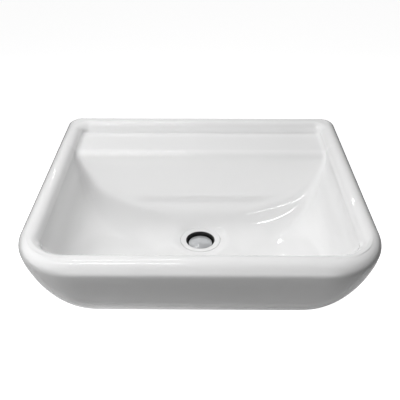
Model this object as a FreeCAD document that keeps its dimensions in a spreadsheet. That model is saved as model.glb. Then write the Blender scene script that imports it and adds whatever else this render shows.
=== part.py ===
import FreeCAD, Part
import math
import os
import re
import Sketcher

# Wall-hung hand basin of glazed vitreous china, with a push-open waste and a
# pair of wall fixings.  Millimetres.  X to the right, Y towards the wall, Z up.
# The origin lies on the wall face, midway between the two fixing bolts.

SIZES = {
    # china body
    "basin_width": 480.0,
    "basin_projection": 425.0,
    "basin_height": 140.0,
    "rim_rise": 60.0,
    "rim_corner_radius": 84.0,
    "back_corner_radius": 16.0,
    "side_rim": 30.0,
    "front_rim": 37.0,
    "outer_roll": 15.0,
    "front_roll": 20.0,
    "inner_roll": 15.0,
    "upstand": 30.0,
    "upstand_foot": 5.0,
    "shelf_drop": 15.0,
    "shelf_reach": 103.0,
    "shelf_corner_radius": 12.0,
    "floor_thickness": 25.0,
    "bowl_slope_run": 44.0,
    "bowl_corner_radius": 38.0,
    "china_wall": 9.0,
    "china_back": 12.0,
    "space_corner_radius": 8.0,
    # waste hole and the dish round it
    "drain_reach": 208.6,
    "drain_hole": 47.0,
    "dish_radius": 45.0,
    "dish_fall": 3.0,
    "dish_spill": 2.0,
    "seat_radius": 32.3,
    "overrun": 1.0,
    # waste fitting
    "flange_radius": 32.0,
    "flange_thickness": 3.5,
    "flange_fall": 1.0,
    "mouth_radius": 23.0,
    "lip_drop": 2.5,
    "throat_radius": 21.5,
    "throat_wall": 1.2,
    "throat_depth": 12.0,
    "tail_radius": 20.95,
    "tail_bore": 18.4,
    "waste_length": 67.0,
    "groove_width": 2.0,
    "groove_depth": 0.6,
    "flange_seal_thickness": 1.5,
    "flange_seal_inset": 1.0,
    "cone_seal_height": 6.0,
    "cone_seal_radius": 30.0,
    "cone_seal_waist": 26.0,
    "slip_thickness": 1.8,
    "slip_radius": 31.0,
    "nut_thickness": 9.0,
    "nut_radius": 28.0,
    "nut_lug_reach": 34.0,
    "nut_lug_width": 9.0,
    "nut_lugs": 4,
    "thread_clearance": 0.1,
    "seat_gap": 0.3,
    # push-open plug
    "spider_ring": 11.0,
    "spider_height": 6.0,
    "spider_drop": 28.0,
    "spider_rib": 3.0,
    "cartridge_radius": 8.0,
    "cartridge_collar": 10.5,
    "collar_height": 2.0,
    "cartridge_bore": 5.8,
    "cartridge_length": 30.0,
    "cartridge_end": 1.5,
    "end_cap_height": 3.0,
    "stem_radius": 2.0,
    "piston_radius": 5.4,
    "piston_height": 1.5,
    "plug_travel": 8.0,
    "travel_spare": 1.0,
    "cap_radius": 19.0,
    "cap_edge": 3.5,
    "cap_crown": 2.4,
    "plug_seal_radius": 20.0,
    "plug_seal_thickness": 2.5,
    "hub_radius": 5.0,
    "hub_length": 7.5,
    "hub_bore_depth": 6.0,
    "spring_radius": 4.2,
    "spring_wire": 0.9,
    "spring_turns": 4,
    # wall fixings
    "fixing_centres": 280.0,
    "fixing_hole": 18.0,
    "bush_radius": 8.7,
    "bush_bore": 5.3,
    "bush_length": 12.0,
    "bush_flange_radius": 14.0,
    "bush_flange_thickness": 3.0,
    "washer_radius": 15.0,
    "washer_thickness": 2.0,
    "hex_across_flats": 17.0,
    "hex_height": 8.0,
    "bolt_radius": 5.0,
    "bolt_chamfer": 0.8,
    "bolt_inside": 46.0,
    "bolt_collar": 6.0,
    "screw_radius": 4.0,
    "screw_point": 6.0,
    "screw_end_gap": 7.0,
    "plug_radius": 7.0,
    "plug_length": 65.0,
    "plug_mouth": 8.0,
    "nose_radius": 5.0,
    "nose_length": 9.0,
}

# Level sections of the outer hull.  Depth is a share of the basin height below
# the roll, half width of half the basin width, front of the projection, and
# corner of the rim's corner radius.
HULL_SHARES = [
    (0.00, 1.000, 1.000, 1.00),
    (0.18, 0.971, 0.991, 0.93),
    (0.34, 0.925, 0.976, 0.81),
    (0.48, 0.875, 0.958, 0.71),
    (0.63, 0.821, 0.927, 0.60),
    (0.745, 0.783, 0.896, 0.54),
    (0.86, 0.729, 0.861, 0.45),
    (0.94, 0.650, 0.821, 0.39),
    (1.00, 0.575, 0.776, 0.33),
]

# The rounded edges of the rim, in degrees down the quarter circle.
ROLL_STEPS = [0.0, 25.0, 50.0, 72.0]

# Level sections of the bowl below the shelf.  Depth is a share of the fall from
# shelf to floor, half width of the bowl mouth's, front of the mouth's reach,
# back of the run of the back slope, front and back corner of the mouth's corner
# radius.  The first rows draw the back over the rounded edge of the shelf.
BOWL_SHARES = [
    (0.00, 1.000, 1.000, -0.14, 1.00, 0.20),
    (0.015, 0.999, 0.999, 0.02, 1.04, 0.21),
    (0.06, 0.994, 0.998, 0.16, 1.09, 0.23),
    (0.13, 0.983, 0.994, 0.23, 1.17, 0.27),
    (0.25, 0.957, 0.987, 0.32, 1.30, 0.32),
    (0.45, 0.919, 0.967, 0.50, 1.41, 0.42),
    (0.60, 0.871, 0.946, 0.67, 1.48, 0.55),
    (0.71, 0.814, 0.920, 0.79, 1.53, 0.73),
    (0.81, 0.733, 0.886, 0.90, 1.61, 1.06),
    (0.89, 0.633, 0.845, 1.02, 1.71, 1.46),
    (0.95, 0.510, 0.795, 1.22, 1.71, 1.64),
    (0.985, 0.385, 0.740, 1.50, 1.57, 1.52),
    (1.00, 0.290, 0.680, 1.80, 1.21, 1.15),
]

# The space behind the bowl follows the bowl's slope down to this share of its run.
SPACE_RUN_SHARE = 0.90

# Levels of the hull nearer than this share below the top of that space are left
# out of it.
LEAST_STEP_SHARE = 0.02

document = FreeCAD.newDocument("HandBasin")
sheet = document.addObject("Spreadsheet::Sheet", "Sizes")
for row, (word, value) in enumerate(SIZES.items(), start=1):
    sheet.set("A%d" % row, word)
    sheet.set("B%d" % row, str(value))
    sheet.setAlias("B%d" % row, word)
document.recompute()


def from_sheet(text):
    """Put the sheet's name before every size in an expression."""
    return re.sub(r"[a-z_]+(?![a-z_(])", lambda found: "Sizes." + found.group(0), text)


def worth(text):
    """The number that an expression over the sheet's sizes comes to."""
    return float(sheet.evalExpression(from_sheet(text)))


def origin_plane(body, role):
    return [part for part in body.Origin.OriginFeatures if part.Role == role][0]


def new_sketch(body, name, role, height="0"):
    """A sketch on one of the body's own planes, raised along its normal."""
    sketch = body.newObject("Sketcher::SketchObject", name)
    sketch.AttachmentSupport = [(origin_plane(body, role), "")]
    sketch.MapMode = "FlatFace"
    if height != "0":
        sketch.setExpression("AttachmentOffset.Base.z", from_sheet(height))
    return sketch


def hold(sketch, kind, geometry, text, name):
    """Add a dimension to a sketch and tie it to the sheet."""
    index = sketch.addConstraint(Sketcher.Constraint(kind, *geometry, worth(text)))
    sketch.renameConstraint(index, name)
    sketch.setExpression("Constraints." + name, from_sheet(text))


def start_body(label):
    body = document.addObject("PartDesign::Body", label)
    body.Label = label
    return body


# Sketches used by several pieces

START, END, MIDDLE = range(1, 4)
ORIGIN = (-1, START)
FRONT, RIGHT, BACK, LEFT, FRONT_RIGHT, BACK_RIGHT, BACK_LEFT, FRONT_LEFT = range(8)


def level_outline(body, name, depth, half_width, front, back, front_corner, back_corner):
    """A rounded rectangle, symmetrical about Y, at a depth below the rim."""
    sketch = new_sketch(body, name, "XY_Plane", "rim_rise - (" + depth + ")")
    wide, near, far = worth(half_width), -worth(front), -worth(back)
    big, small = worth(front_corner), worth(back_corner)
    vector = FreeCAD.Vector
    up = vector(0, 0, 1)

    def corner(x, y, radius, first):
        circle = Part.Circle(vector(x, y, 0), up, radius)
        return Part.ArcOfCircle(circle, math.radians(first), math.radians(first + 90))

    sketch.addGeometry([
        Part.LineSegment(vector(big - wide, near, 0), vector(wide - big, near, 0)),
        Part.LineSegment(vector(wide, near + big, 0), vector(wide, far - small, 0)),
        Part.LineSegment(vector(wide - small, far, 0), vector(small - wide, far, 0)),
        Part.LineSegment(vector(-wide, far - small, 0), vector(-wide, near + big, 0)),
        corner(wide - big, near + big, big, 270),
        corner(wide - small, far - small, small, 0),
        corner(small - wide, far - small, small, 90),
        corner(big - wide, near + big, big, 180),
    ], False)
    ring = [FRONT, FRONT_RIGHT, RIGHT, BACK_RIGHT, BACK, BACK_LEFT, LEFT, FRONT_LEFT]
    for this, following in zip(ring, ring[1:] + ring[:1]):
        sketch.addConstraint(Sketcher.Constraint("Tangent", this, END, following, START))
    sketch.addConstraint(Sketcher.Constraint("Horizontal", FRONT))
    sketch.addConstraint(Sketcher.Constraint("Horizontal", BACK))
    sketch.addConstraint(Sketcher.Constraint("Vertical", RIGHT))
    sketch.addConstraint(Sketcher.Constraint("Vertical", LEFT))
    sketch.addConstraint(Sketcher.Constraint("Equal", FRONT_RIGHT, FRONT_LEFT))
    sketch.addConstraint(Sketcher.Constraint("Equal", BACK_RIGHT, BACK_LEFT))
    hold(sketch, "Radius", (FRONT_RIGHT,), front_corner, "frontCorner")
    hold(sketch, "Radius", (BACK_RIGHT,), back_corner, "backCorner")
    hold(sketch, "DistanceX", ORIGIN + (RIGHT, START), half_width, "rightSide")
    hold(sketch, "DistanceX", (LEFT, START) + ORIGIN, half_width, "leftSide")
    hold(sketch, "DistanceY", (FRONT, START) + ORIGIN, front, "frontSide")
    if far > 0:
        hold(sketch, "DistanceY", ORIGIN + (BACK, START), "-(%s)" % back, "backSide")
    else:
        hold(sketch, "DistanceY", (BACK, START) + ORIGIN, back, "backSide")
    return sketch


def loft(body, kind, name, outlines):
    """Join level outlines, given from the top down, into one solid of straight bands."""
    feature = body.newObject("PartDesign::" + kind, name)
    feature.Profile = outlines[0]
    feature.Sections = [(outline, [""]) for outline in outlines[1:]]
    feature.Ruled = True
    return feature


def pin_down(sketch, corners):
    """Tie each line's start to its place, given as two expressions."""
    for index, (across, along) in enumerate(corners):
        for text, kind, axis in ((across, "DistanceX", -2), (along, "DistanceY", -1)):
            if text == "0":
                sketch.addConstraint(Sketcher.Constraint("PointOnObject", index, START, axis))
            elif worth(text) < 0:
                hold(sketch, kind, (index, START) + ORIGIN, "-(" + text + ")", "%s%d" % (kind, index))
            else:
                hold(sketch, kind, ORIGIN + (index, START), text, "%s%d" % (kind, index))


def polygon_sketch(body, name, role, corners, height="0"):
    """A closed outline of straight lines through the corners."""
    sketch = new_sketch(body, name, role, height)
    places = [FreeCAD.Vector(worth(across), worth(along), 0) for across, along in corners]
    for here, there in zip(places, places[1:] + places[:1]):
        sketch.addGeometry(Part.LineSegment(here, there), False)
    for index in range(len(places)):
        following = (index + 1) % len(places)
        sketch.addConstraint(Sketcher.Constraint("Coincident", index, END, following, START))
    pin_down(sketch, corners)
    return sketch


def circle_sketch(body, name, role, radius, height="0", across="0", along="0"):
    sketch = new_sketch(body, name, role, height)
    middle = FreeCAD.Vector(worth(across), worth(along), 0)
    sketch.addGeometry(Part.Circle(middle, FreeCAD.Vector(0, 0, 1), worth(radius)), False)
    hold(sketch, "Radius", (0,), radius, "ringRadius")
    for text, kind, axis in ((across, "DistanceX", -2), (along, "DistanceY", -1)):
        if text == "0":
            sketch.addConstraint(Sketcher.Constraint("PointOnObject", 0, MIDDLE, axis))
        elif worth(text) < 0:
            hold(sketch, kind, (0, MIDDLE) + ORIGIN, "-(" + text + ")", kind)
        else:
            hold(sketch, kind, ORIGIN + (0, MIDDLE), text, kind)
    return sketch


def turn(body, name, corners, kind="Revolution"):
    """Turn a (radius, height) outline about the body's Z axis."""
    sketch = polygon_sketch(body, name + "Outline", "XZ_Plane", corners)
    feature = body.newObject("PartDesign::" + kind, name)
    feature.Profile = sketch
    feature.ReferenceAxis = (sketch, ["V_Axis"])
    feature.Angle = 360
    return feature


def extrude(body, name, sketch, length, kind="Pad", backwards=False):
    feature = body.newObject("PartDesign::" + kind, name)
    feature.Profile = sketch
    feature.setExpression("Length", from_sheet(length))
    feature.Reversed = backwards
    return feature


def hole(body, name, sketch, length):
    """A round or shaped hole that runs both ways from its sketch."""
    document.recompute()
    before = body.Shape.Volume
    feature = extrude(body, name, sketch, length, "Pocket")
    feature.Midplane = True
    document.recompute()
    if not body.Shape.Volume < before:
        raise RuntimeError(name + " cuts nothing")
    return feature


def stand_at(piece, across="0", along="0", height="0"):
    for axis, text in (("x", across), ("y", along), ("z", height)):
        if text != "0":
            piece.setExpression("Placement.Base." + axis, from_sheet(text))


# China body

BOWL_DEPTH = "(basin_height - floor_thickness)"


def row_at(rows, share):
    """The row at a depth share, read between the rows above and below it."""
    share = min(share, rows[-1][0])
    above, below = [pair for pair in zip(rows, rows[1:]) if pair[0][0] <= share <= pair[1][0]][0]
    part = (share - above[0]) / (below[0] - above[0])
    return [first + (second - first) * part for first, second in zip(above, below)]


def hull_outline(body, name, row):
    """One level of the outer hull."""
    depth, wide, front, corner = row
    return level_outline(
        body, name,
        "outer_roll + (basin_height - outer_roll) * %.6f" % depth,
        "basin_width / 2 * %.6f" % wide,
        "basin_projection * %.6f" % front,
        "-overrun",
        "rim_corner_radius * %.6f" % corner,
        "back_corner_radius")


def space_outline(body, name, row):
    """One level of the space behind the bowl: a wall in from the hull and from the slope."""
    depth, wide = row[:2]
    below_rim = "outer_roll + (basin_height - outer_roll) * %.6f" % depth
    bowl_share = worth("(%s - shelf_drop) / (%s - shelf_drop)" % (below_rim, BOWL_DEPTH))
    run = min(row_at(BOWL_SHARES, bowl_share)[3], SPACE_RUN_SHARE)
    return level_outline(
        body, name, below_rim,
        "basin_width / 2 * %.6f - china_wall" % wide,
        "shelf_reach + bowl_slope_run * %.6f - china_wall" % run,
        "china_back",
        "space_corner_radius", "space_corner_radius")


def bowl_outline(body, name, row):
    """One level of the bowl."""
    depth, wide, front, run, near_corner, far_corner = row
    return level_outline(
        body, name,
        "shelf_drop + (%s - shelf_drop) * %.6f" % (BOWL_DEPTH, depth),
        "(basin_width / 2 - side_rim) * %.6f" % wide,
        "(basin_projection - front_rim) * %.6f" % front,
        "shelf_reach + bowl_slope_run * %.6f" % run,
        "bowl_corner_radius * %.6f" % near_corner,
        "bowl_corner_radius * %.6f" % far_corner)


def make_basin_body():
    body = start_body("basin_body")

    # outer hull, from the rounded top edge of the rim down to the flat base
    outlines = []
    for index, step in enumerate(ROLL_STEPS):
        inwards = 1 - math.sin(math.radians(step))
        outlines.append(level_outline(
            body, "RollLevel%d" % index,
            "outer_roll * %.6f" % (1 - math.cos(math.radians(step))),
            "basin_width / 2 - outer_roll * %.6f" % inwards,
            "basin_projection - front_roll * %.6f" % inwards,
            "-overrun",
            "rim_corner_radius - outer_roll * %.6f" % inwards,
            "back_corner_radius - outer_roll / 2 * %.6f" % inwards))
    for index, row in enumerate(HULL_SHARES):
        outlines.append(hull_outline(body, "HullLevel%d" % index, row))
    loft(body, "AdditiveLoft", "Hull", outlines)

    # one flat face against the wall
    half = "(basin_width / 2 + overrun)"
    up, down = "rim_rise + overrun", "rim_rise - basin_height - overrun"
    wall = polygon_sketch(
        body, "WallOutline", "XZ_Plane", [("-" + half, down), (half, down), (half, up), ("-" + half, up)])
    extrude(body, "WallFace", wall, "2 * overrun", "Pocket")

    # open space behind the bowl and under the shelf, for the wall nuts and the pipes
    top = worth("(shelf_drop + china_wall - outer_roll) / (basin_height - outer_roll)")
    rows = [row_at(HULL_SHARES, top)]
    rows += [row for row in HULL_SHARES if row[0] > top + LEAST_STEP_SHARE]
    rows.append([1 + worth("overrun / (basin_height - outer_roll)")] + list(rows[-1][1:]))
    outlines = []
    for index, row in enumerate(rows):
        outlines.append(space_outline(body, "SpaceLevel%d" % index, row))
    loft(body, "SubtractiveLoft", "BackSpace", outlines)

    # recess inside the rim, down to the shelf
    outlines = []
    for index, step in enumerate(ROLL_STEPS):
        outwards = "inner_roll * %.6f" % (1 - math.sin(math.radians(step)))
        outlines.append(level_outline(
            body, "RecessLevel%d" % index,
            "inner_roll * %.6f" % (1 - math.cos(math.radians(step))),
            "basin_width / 2 - side_rim + " + outwards,
            "basin_projection - front_rim + " + outwards,
            "upstand - " + outwards,
            "bowl_corner_radius + " + outwards,
            "shelf_corner_radius + " + outwards))
    outlines.append(level_outline(
        body, "RecessFloor", "shelf_drop",
        "basin_width / 2 - side_rim", "basin_projection - front_rim", "upstand + upstand_foot",
        "bowl_corner_radius", "shelf_corner_radius"))
    loft(body, "SubtractiveLoft", "Recess", outlines)

    # bowl, from the rounded front edge of the shelf down to its floor
    outlines = []
    for index, row in enumerate(BOWL_SHARES):
        outlines.append(bowl_outline(body, "BowlLevel%d" % index, row))
    loft(body, "SubtractiveLoft", "Bowl", outlines)

    # dish round the drain, seat of the waste flange, and the drain hole
    dish = body.newObject("PartDesign::SubtractiveCone", "Dish")
    dish.AttachmentSupport = [(origin_plane(body, "XY_Plane"), "")]
    dish.MapMode = "FlatFace"
    dish.setExpression("AttachmentOffset.Base.y", from_sheet("-drain_reach"))
    dish.setExpression("AttachmentOffset.Base.z", from_sheet("rim_rise - %s - dish_fall" % BOWL_DEPTH))
    dish.setExpression("Radius1", from_sheet("seat_radius"))
    dish.setExpression("Radius2", from_sheet(
        "dish_radius + (dish_radius - seat_radius) * dish_spill / dish_fall"))
    dish.setExpression("Height", from_sheet("dish_fall + dish_spill"))
    seat = circle_sketch(
        body, "SeatOutline", "XY_Plane", "seat_radius",
        "rim_rise - %s - dish_fall" % BOWL_DEPTH, "0", "-drain_reach")
    hole(body, "FlangeSeat", seat, "2 * (flange_thickness + flange_seal_thickness)")
    drain = circle_sketch(
        body, "DrainOutline", "XY_Plane", "drain_hole / 2",
        "rim_rise - basin_height", "0", "-drain_reach")
    hole(body, "DrainHole", drain, "2 * (floor_thickness + overrun)")

    # two holes through the back wall for the fixings
    for side, across in (("Left", "-fixing_centres / 2"), ("Right", "fixing_centres / 2")):
        ring = circle_sketch(body, side + "FixingOutline", "XZ_Plane", "fixing_hole / 2", "0", across)
        hole(body, side + "FixingHole", ring, "2 * (china_back + overrun)")
    return body


# Waste fitting, drawn from the top of its flange downwards

def stand_in_drain(piece):
    stand_at(piece, "0", "-drain_reach", "rim_rise - %s - dish_fall" % BOWL_DEPTH)


def turned_waste_piece(label, corners):
    body = start_body(label)
    turn(body, label.title().replace("_", ""), corners)
    stand_in_drain(body)
    return body


# Depth of the china's underside below the flange, and of what is stacked on it
CHINA_BELOW = "floor_thickness - dish_fall"
CONE_BELOW = CHINA_BELOW + " + cone_seal_height"
SLIP_BELOW = CONE_BELOW + " + slip_thickness"
THREAD = "tail_radius + thread_clearance"
GROOVE_TOP = SLIP_BELOW + " + nut_thickness + groove_width / 2"


def make_waste_body():
    shank = "throat_radius + throat_wall"
    shoulder = "throat_depth + throat_radius - tail_bore"
    body = turned_waste_piece("waste_body", [
        ("flange_radius", "0"),
        ("mouth_radius", "-flange_fall"),
        ("throat_radius", "-lip_drop"),
        ("throat_radius", "-throat_depth"),
        ("tail_bore", "-(%s)" % shoulder),
        ("tail_bore", "-waste_length"),
        ("tail_radius", "-waste_length"),
        ("tail_radius", "-(%s + groove_width)" % GROOVE_TOP),
        ("tail_radius - groove_depth", "-(%s + groove_width)" % GROOVE_TOP),
        ("tail_radius - groove_depth", "-(%s)" % GROOVE_TOP),
        ("tail_radius", "-(%s)" % GROOVE_TOP),
        ("tail_radius", "-(throat_depth + throat_wall + %s - tail_radius)" % shank),
        (shank, "-(throat_depth + throat_wall)"),
        (shank, "-flange_thickness"),
        ("flange_radius", "-flange_thickness"),
    ])
    # cross bars and ring that hold the cartridge
    reach = "(tail_bore + tail_radius) / 2"
    bars = [(reach, "spider_rib / 2"), ("spider_rib / 2", reach)]
    for index, (across, along) in enumerate(bars):
        bar = polygon_sketch(
            body, "BarOutline%d" % index, "XY_Plane",
            [("-" + across, "-" + along), (across, "-" + along), (across, along), ("-" + across, along)],
            "-spider_drop")
        extrude(body, "Bar%d" % index, bar, "spider_height", backwards=True)
    ring = circle_sketch(body, "RingOutline", "XY_Plane", "spider_ring", "-spider_drop")
    extrude(body, "Ring", ring, "spider_height", backwards=True)
    bore = circle_sketch(
        body, "CartridgeHoleOutline", "XY_Plane", "cartridge_radius + thread_clearance", "-spider_drop")
    hole(body, "CartridgeHole", bore, "2 * (spider_height + overrun)")
    return body


def make_flange_seal():
    inner = "throat_radius + throat_wall + thread_clearance"
    outer = "flange_radius - flange_seal_inset"
    top, bottom = "-flange_thickness", "-(flange_thickness + flange_seal_thickness)"
    return turned_waste_piece("flange_seal", [(inner, top), (inner, bottom), (outer, bottom), (outer, top)])


def make_cone_seal():
    return turned_waste_piece("cone_seal", [
        (THREAD, "-(%s)" % CHINA_BELOW),
        (THREAD, "-(%s)" % CONE_BELOW),
        ("cone_seal_waist", "-(%s)" % CONE_BELOW),
        ("cone_seal_radius", "-(%s + cone_seal_height / 3)" % CHINA_BELOW),
        ("cone_seal_radius", "-(%s)" % CHINA_BELOW),
    ])


def make_slip_washer():
    return turned_waste_piece("slip_washer", [
        (THREAD, "-(%s)" % CONE_BELOW),
        (THREAD, "-(%s)" % SLIP_BELOW),
        ("slip_radius", "-(%s)" % SLIP_BELOW),
        ("slip_radius", "-(%s)" % CONE_BELOW),
    ])


def make_back_nut():
    low = "-(%s + nut_thickness)" % SLIP_BELOW
    body = turned_waste_piece("back_nut", [
        (THREAD, "-(%s)" % SLIP_BELOW),
        (THREAD, low),
        ("nut_radius", low),
        ("nut_radius", "-(%s)" % SLIP_BELOW),
    ])
    # lugs that a hand or a pin wrench turns it by
    lug = polygon_sketch(
        body, "LugOutline", "XY_Plane",
        [("nut_radius - nut_lug_width / 3", "-nut_lug_width / 2"), ("nut_lug_reach", "-nut_lug_width / 3"),
         ("nut_lug_reach", "nut_lug_width / 3"), ("nut_radius - nut_lug_width / 3", "nut_lug_width / 2")],
        "-(%s)" % SLIP_BELOW)
    pad = extrude(body, "Lug", lug, "nut_thickness", backwards=True)
    pattern = body.newObject("PartDesign::PolarPattern", "Lugs")
    pattern.Originals = [pad]
    pattern.Axis = (body.Origin.OriginFeatures[2], [""])
    pattern.Angle = 360
    pattern.setExpression("Occurrences", from_sheet("nut_lugs"))
    body.Tip = pattern
    return body


# Push-open plug, shown closed

SEAL_LOW = "throat_depth + throat_radius - plug_seal_radius - 2 * seat_gap"
SEAL_TOP = SEAL_LOW + " - plug_seal_thickness"
HUB_LOW = SEAL_TOP + " + hub_length"
COLLAR_TOP = "spider_drop - collar_height"
CARTRIDGE_LOW = COLLAR_TOP + " + cartridge_length"
PISTON_TOP = COLLAR_TOP + " + cartridge_end + plug_travel + travel_spare"
END_CAP_TOP = CARTRIDGE_LOW + " - end_cap_height"


def make_plug_cap():
    """Shallow dome over a hub; the dome is an arc through its crown and its edge."""
    body = start_body("plug_cap")
    edge_top = "-(%s - cap_edge)" % SEAL_TOP
    bore_top = "-(%s - hub_bore_depth)" % HUB_LOW
    hub_low = "-(%s)" % HUB_LOW
    bore = "stem_radius + thread_clearance"
    turn(body, "Disc", [
        ("0", edge_top),
        ("0", bore_top),
        (bore, bore_top),
        (bore, hub_low),
        ("hub_radius", hub_low),
        ("hub_radius", "-(%s)" % SEAL_TOP),
        ("cap_radius", "-(%s)" % SEAL_TOP),
        ("cap_radius", edge_top),
    ])
    sketch = new_sketch(body, "DomeOutline", "XZ_Plane")
    radius = "((cap_radius ^ 2 + cap_crown ^ 2) / (2 * cap_crown))"
    middle = FreeCAD.Vector(0, worth("%s + cap_crown - %s" % (edge_top, radius)), 0)
    edge = FreeCAD.Vector(worth("cap_radius"), worth(edge_top), 0)
    crown = FreeCAD.Vector(0, worth(edge_top + " + cap_crown"), 0)
    foot = FreeCAD.Vector(0, worth(edge_top), 0)
    circle = Part.Circle(middle, FreeCAD.Vector(0, 0, 1), worth(radius))
    first = math.atan2(edge.y - middle.y, edge.x - middle.x)
    sketch.addGeometry(Part.LineSegment(foot, edge), False)
    sketch.addGeometry(Part.ArcOfCircle(circle, first, math.pi / 2), False)
    sketch.addGeometry(Part.LineSegment(crown, foot), False)
    for this, following in ((0, 1), (1, 2), (2, 0)):
        sketch.addConstraint(Sketcher.Constraint("Coincident", this, END, following, START))
    sketch.addConstraint(Sketcher.Constraint("Horizontal", 0))
    sketch.addConstraint(Sketcher.Constraint("Vertical", 2))
    sketch.addConstraint(Sketcher.Constraint("PointOnObject", 0, START, -2))
    sketch.addConstraint(Sketcher.Constraint("PointOnObject", 1, MIDDLE, -2))
    hold(sketch, "DistanceX", ORIGIN + (0, END), "cap_radius", "domeRadius")
    hold(sketch, "DistanceY", (0, START) + ORIGIN, "%s - cap_edge" % SEAL_TOP, "domeFoot")
    hold(sketch, "DistanceY", (2, END, 2, START), "cap_crown", "domeCrown")
    dome = body.newObject("PartDesign::Revolution", "Dome")
    dome.Profile = sketch
    dome.ReferenceAxis = (sketch, ["V_Axis"])
    dome.Angle = 360
    stand_in_drain(body)
    return body


def make_plug_seal():
    inner = "hub_radius + thread_clearance"
    return turned_waste_piece("plug_seal", [
        (inner, "-(%s)" % SEAL_TOP),
        (inner, "-(%s)" % SEAL_LOW),
        ("plug_seal_radius", "-(%s)" % SEAL_LOW),
        ("plug_seal_radius", "-(%s - plug_seal_thickness / 2)" % SEAL_LOW),
        ("cap_radius", "-(%s)" % SEAL_TOP),
    ])


def make_plug_stem():
    return turned_waste_piece("plug_stem", [
        ("0", "-(%s - hub_bore_depth + thread_clearance)" % HUB_LOW),
        ("0", "-(%s + piston_height)" % PISTON_TOP),
        ("piston_radius", "-(%s + piston_height)" % PISTON_TOP),
        ("piston_radius", "-(%s)" % PISTON_TOP),
        ("stem_radius", "-(%s)" % PISTON_TOP),
        ("stem_radius", "-(%s - hub_bore_depth + thread_clearance)" % HUB_LOW),
    ])


def make_cartridge():
    return turned_waste_piece("cartridge", [
        ("stem_radius + seat_gap", "-(%s)" % COLLAR_TOP),
        ("stem_radius + seat_gap", "-(%s + cartridge_end)" % COLLAR_TOP),
        ("cartridge_bore", "-(%s + cartridge_end)" % COLLAR_TOP),
        ("cartridge_bore", "-(%s)" % CARTRIDGE_LOW),
        ("cartridge_radius", "-(%s)" % CARTRIDGE_LOW),
        ("cartridge_radius", "-spider_drop"),
        ("cartridge_collar", "-spider_drop"),
        ("cartridge_collar", "-(%s)" % COLLAR_TOP),
    ])


def make_cartridge_end_cap():
    outer = "cartridge_bore - thread_clearance"
    return turned_waste_piece("cartridge_end_cap", [
        ("0", "-(%s)" % END_CAP_TOP),
        ("0", "-(%s)" % CARTRIDGE_LOW),
        (outer, "-(%s)" % CARTRIDGE_LOW),
        (outer, "-(%s)" % END_CAP_TOP),
    ])


def make_plug_spring():
    """One unbroken round wire; each half turn is two arcs that share a tangent."""
    wire, middle = worth("spring_wire"), worth("spring_radius")
    low = -worth(END_CAP_TOP) + wire / 2 + worth("seat_gap")
    high = -worth(PISTON_TOP + " + piston_height") - wire / 2 - worth("seat_gap")
    turns = int(worth("spring_turns"))
    rise = (high - low) / turns / (2 * math.pi)

    def place(angle):
        return FreeCAD.Vector(middle * math.cos(angle), middle * math.sin(angle), low + rise * angle)

    def heading(angle):
        return FreeCAD.Vector(-middle * math.sin(angle), middle * math.cos(angle), rise).normalize()

    def arc(start, direction, end):
        """The arc from start, along direction, to end."""
        chord = end - start
        across = chord - direction * chord.dot(direction)
        half_turn = math.atan2(across.Length, chord.dot(direction))
        side = across.normalize()
        radius = chord.Length / (2 * math.sin(half_turn))
        centre = start + side * radius
        between = centre - side * radius * math.cos(half_turn) + direction * radius * math.sin(half_turn)
        return Part.Arc(start, between, end).toShape()

    edges = []
    for half in range(2 * turns):
        first, last = half * math.pi, (half + 1) * math.pi
        start, end, away, towards = place(first), place(last), heading(first), heading(last)
        chord, both = end - start, away + towards
        # equal arms to the joint of the two arcs
        a = 2 * (1 - away.dot(towards))
        b = 2 * chord.dot(both)
        arm = (-b + math.sqrt(b * b + 4 * a * chord.dot(chord))) / (2 * a)
        joint = (start + away * arm + end - towards * arm) * 0.5
        edges.append(arc(start, away, joint))
        second = arc(end, towards * -1, joint)
        edges.append(Part.Arc(joint, second.valueAt(
            (second.FirstParameter + second.LastParameter) / 2), end).toShape())
    path = Part.Wire(edges)
    section = Part.Wire(Part.makeCircle(wire / 2, place(0), heading(0)))
    coil = path.makePipeShell([section], True, False)
    print("spring: %d turns, least gap between turns %.2f mm" % (turns, (high - low) / turns - wire))
    spring = document.addObject("Part::Feature", "plug_spring")
    spring.Label = "plug_spring"
    spring.Shape = coil
    stand_in_drain(spring)
    return spring


# Wall fixings, drawn along Z and laid down so that Z points into the wall

SIDES = {"left": "-fixing_centres / 2", "right": "fixing_centres / 2"}
INTO_WALL = FreeCAD.Rotation(FreeCAD.Vector(1, 0, 0), -90)
FLANGE_OUT = "china_back + bush_flange_thickness"
WASHER_OUT = FLANGE_OUT + " + washer_thickness"
SCREW_END = "(plug_length - screw_end_gap)"


def lay_in_wall(piece, side):
    piece.Placement = FreeCAD.Placement(FreeCAD.Vector(0, 0, 0), INTO_WALL)
    stand_at(piece, SIDES[side])


def turned_fixing(name, side, corners):
    label = name + "_" + side
    body = start_body(label)
    turn(body, label.title().replace("_", ""), corners)
    lay_in_wall(body, side)
    return body


def make_fixing_bolt(side):
    return turned_fixing("fixing_bolt", side, [
        ("0", "-bolt_inside"),
        ("bolt_radius - bolt_chamfer", "-bolt_inside"),
        ("bolt_radius", "bolt_chamfer - bolt_inside"),
        ("bolt_radius", "bolt_collar"),
        ("screw_radius", "bolt_collar + bolt_radius - screw_radius"),
        ("screw_radius", SCREW_END + " - screw_point"),
        ("0", SCREW_END),
    ])


def make_wall_plug(side):
    bore = "screw_radius + thread_clearance"
    mouth = "bolt_radius + thread_clearance"
    return turned_fixing("wall_plug", side, [
        (mouth, "0"),
        ("plug_radius", "0"),
        ("plug_radius", "plug_length - nose_length"),
        ("nose_radius", "plug_length"),
        ("0", "plug_length"),
        ("0", SCREW_END + " + thread_clearance"),
        (bore, SCREW_END + " - screw_point + thread_clearance"),
        (bore, "plug_mouth"),
        (mouth, "plug_mouth - bolt_radius + screw_radius"),
    ])


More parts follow.
